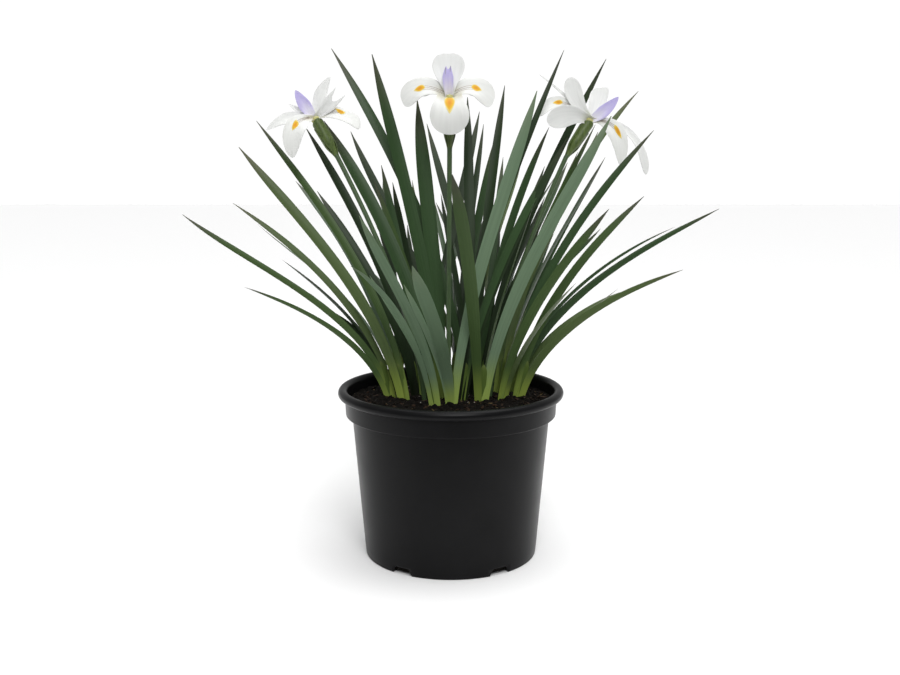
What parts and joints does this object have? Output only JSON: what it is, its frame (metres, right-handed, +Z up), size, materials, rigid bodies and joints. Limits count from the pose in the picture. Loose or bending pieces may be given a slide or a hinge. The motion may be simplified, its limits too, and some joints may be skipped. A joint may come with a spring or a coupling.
{
  "type": "potted african iris plant",
  "caption": "Clump of upright sword leaves in fans with open white iris blooms on slender stems, growing in a black round nursery pot filled with bark soil.",
  "frame": {"origin": "middle of the flat underside of the pot, on the surface that the pot stands on", "axes": "+Z up; -Y the front of the plant, the side the picture shows; +X to the right of somebody who looks at that front"},
  "size_m": [0.477, 0.4026, 0.448],
  "materials": {
    "pot_plastic": "black moulded plastic, low sheen",
    "bark_soil": "damp potting mix of fine bark, very dark brown",
    "leaf_green": "grey-green sword leaves with a satin surface",
    "stem_green": "olive green flower stems and spathes",
    "petal_white": "white petals with a soft satin surface"
  },
  "bodies": {
    "root": {"bloom_front": "petal_white", "bloom_left": "petal_white", "bloom_right": "petal_white", "fan_back": "leaf_green", "fan_back_left": "leaf_green", "fan_back_right": "leaf_green", "fan_center": "leaf_green", "fan_center_left": "leaf_green", "fan_center_right": "leaf_green", "fan_far_right": "leaf_green", "fan_front": "leaf_green", "fan_front_left": "leaf_green", "fan_left": "leaf_green", "fan_left_back": "leaf_green", "fan_left_low": "leaf_green", "fan_left_middle": "leaf_green", "fan_rear_left": "leaf_green", "fan_rear_middle_left": "leaf_green", "fan_rear_middle_right": "leaf_green", "fan_rear_right": "leaf_green", "fan_right": "leaf_green", "fan_right_back": "leaf_green", "fan_right_front": "leaf_green", "fan_right_middle": "leaf_green", "fan_right_side": "leaf_green", "fan_tall_right": "leaf_green", "pot": "pot_plastic", "scape_front": "stem_green", "scape_left": "stem_green", "scape_right": "stem_green", "soil": "bark_soil"}
  },
  "joints": []
}
